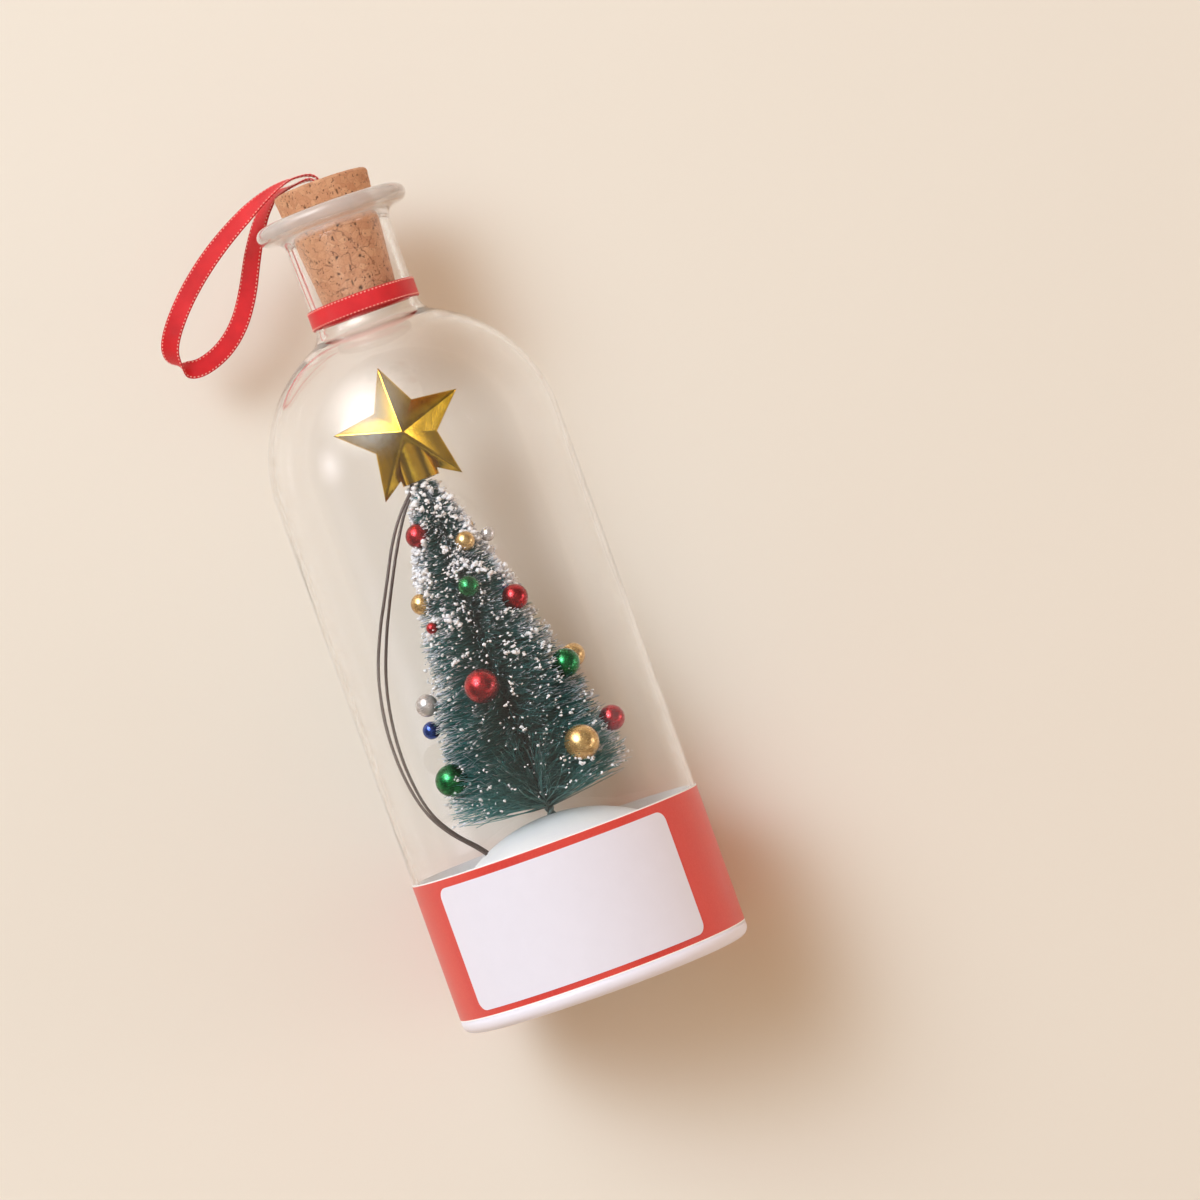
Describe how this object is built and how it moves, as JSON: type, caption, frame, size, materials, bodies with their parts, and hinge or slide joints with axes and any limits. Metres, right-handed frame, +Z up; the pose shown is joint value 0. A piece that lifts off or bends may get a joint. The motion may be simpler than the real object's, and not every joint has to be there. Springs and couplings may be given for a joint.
{
  "type": "message in a bottle",
  "caption": "Corked clear bottle with a lit bottle-brush tree under a star, a snow dome, a red label and a voice recorder in its white base.",
  "frame": {"origin": "centre of the base, on the face that the bottle stands on", "axes": "+Z up the bottle's axis to the cork, -Y to the front of the label"},
  "size_m": [0.0796, 0.0665, 0.1909],
  "materials": {
    "clear_plastic": "clear, glossy",
    "cork": "agglomerated cork, matte",
    "ribbon_satin": "woven satin with picot edges",
    "label_red": "satin coated wrap",
    "label_white": "satin coated, bare",
    "white_plastic": "moulded, satin",
    "snow_white": "matte",
    "stem_wire": "twisted galvanised wire",
    "bristle_green": "fine bristles with frosted tips",
    "star_gold": "gold vacuum plating",
    "lamp_clear": "clear warm white lamp",
    "wire_brown": "thin insulated wire",
    "bauble_red": "metallic lacquer",
    "bauble_gold": "metallic lacquer",
    "bauble_green": "metallic lacquer",
    "bauble_blue": "metallic lacquer",
    "bauble_silver": "metallic lacquer",
    "board_green": "solder mask",
    "chip_black": "moulded, matte",
    "button_white": "moulded, satin",
    "button_red": "moulded, satin",
    "speaker_paper": "pressed paper",
    "magnet_grey": "plain",
    "steel": "nickel plated"
  },
  "bodies": {
    "bottle": {"base_housing": "white_plastic", "bauble_01_red": "bauble_red", "bauble_02_gold": "bauble_gold", "bauble_03_silver": "bauble_silver", "bauble_04_gold": "bauble_gold", "bauble_05_green": "bauble_green", "bauble_06_red": "bauble_red", "bauble_07_red": "bauble_red", "bauble_08_silver": "bauble_silver", "bauble_09_red": "bauble_red", "bauble_10_green": "bauble_green", "bauble_11_gold": "bauble_gold", "bauble_12_blue": "bauble_blue", "bauble_13_green": "bauble_green", "bauble_14_gold": "bauble_gold", "bauble_15_red": "bauble_red", "bauble_16_gold": "bauble_gold", "bauble_17_red": "bauble_red", "bauble_18_blue": "bauble_blue", "bauble_19_green": "bauble_green", "bauble_20_silver": "bauble_silver", "bauble_21_red": "bauble_red", "bauble_22_gold": "bauble_gold", "bauble_23_green": "bauble_green", "board_screws": "steel", "bottle_shell": "clear_plastic", "button_cell_1": "steel", "button_cell_2": "steel", "button_cell_3": "steel", "circuit_board": "board_green", "contact_plate": "steel", "contact_spring": "steel", "housing_screws": "steel", "label_band": "label_red", "label_panel": "label_white", "led_wire_a": "wire_brown", "led_wire_b": "wire_brown", "microphone": "steel", "neck_ribbon": "ribbon_satin", "play_switch": "chip_black", "record_switch": "chip_black", "snow_dome": "snow_white", "sound_chip": "chip_black", "speaker_cone": "speaker_paper", "speaker_frame": "steel", "speaker_magnet": "magnet_grey", "star_back": "star_gold", "star_front": "star_gold", "star_lamp": "lamp_clear", "tree_bristles": "bristle_green", "tree_stem": "stem_wire"},
    "cork": {"cork_stopper": "cork", "hanging_ribbon": "ribbon_satin"},
    "play_button": {"play_button": "button_white", "play_plunger": "chip_black"},
    "record_button": {"record_button": "button_red", "record_plunger": "chip_black"},
    "battery_door": {"battery_door": "white_plastic", "battery_door_screw": "steel"}
  },
  "joints": [
    {"name": "cork_pull", "type": "slide", "parent": "bottle", "child": "cork", "axis": [0, 0, 1], "range_m": [0, 0.035]},
    {"name": "play_press", "type": "slide", "parent": "bottle", "child": "play_button", "axis": [0, 0, 1], "range_m": [0, 0.0008], "stiffness_N_per_m": 600},
    {"name": "record_press", "type": "slide", "parent": "bottle", "child": "record_button", "axis": [0, 0, 1], "range_m": [0, 0.0008], "stiffness_N_per_m": 600},
    {"name": "battery_door_lift", "type": "slide", "parent": "bottle", "child": "battery_door", "axis": [0, 0, -1], "range_m": [0, 0.012]}
  ]
}
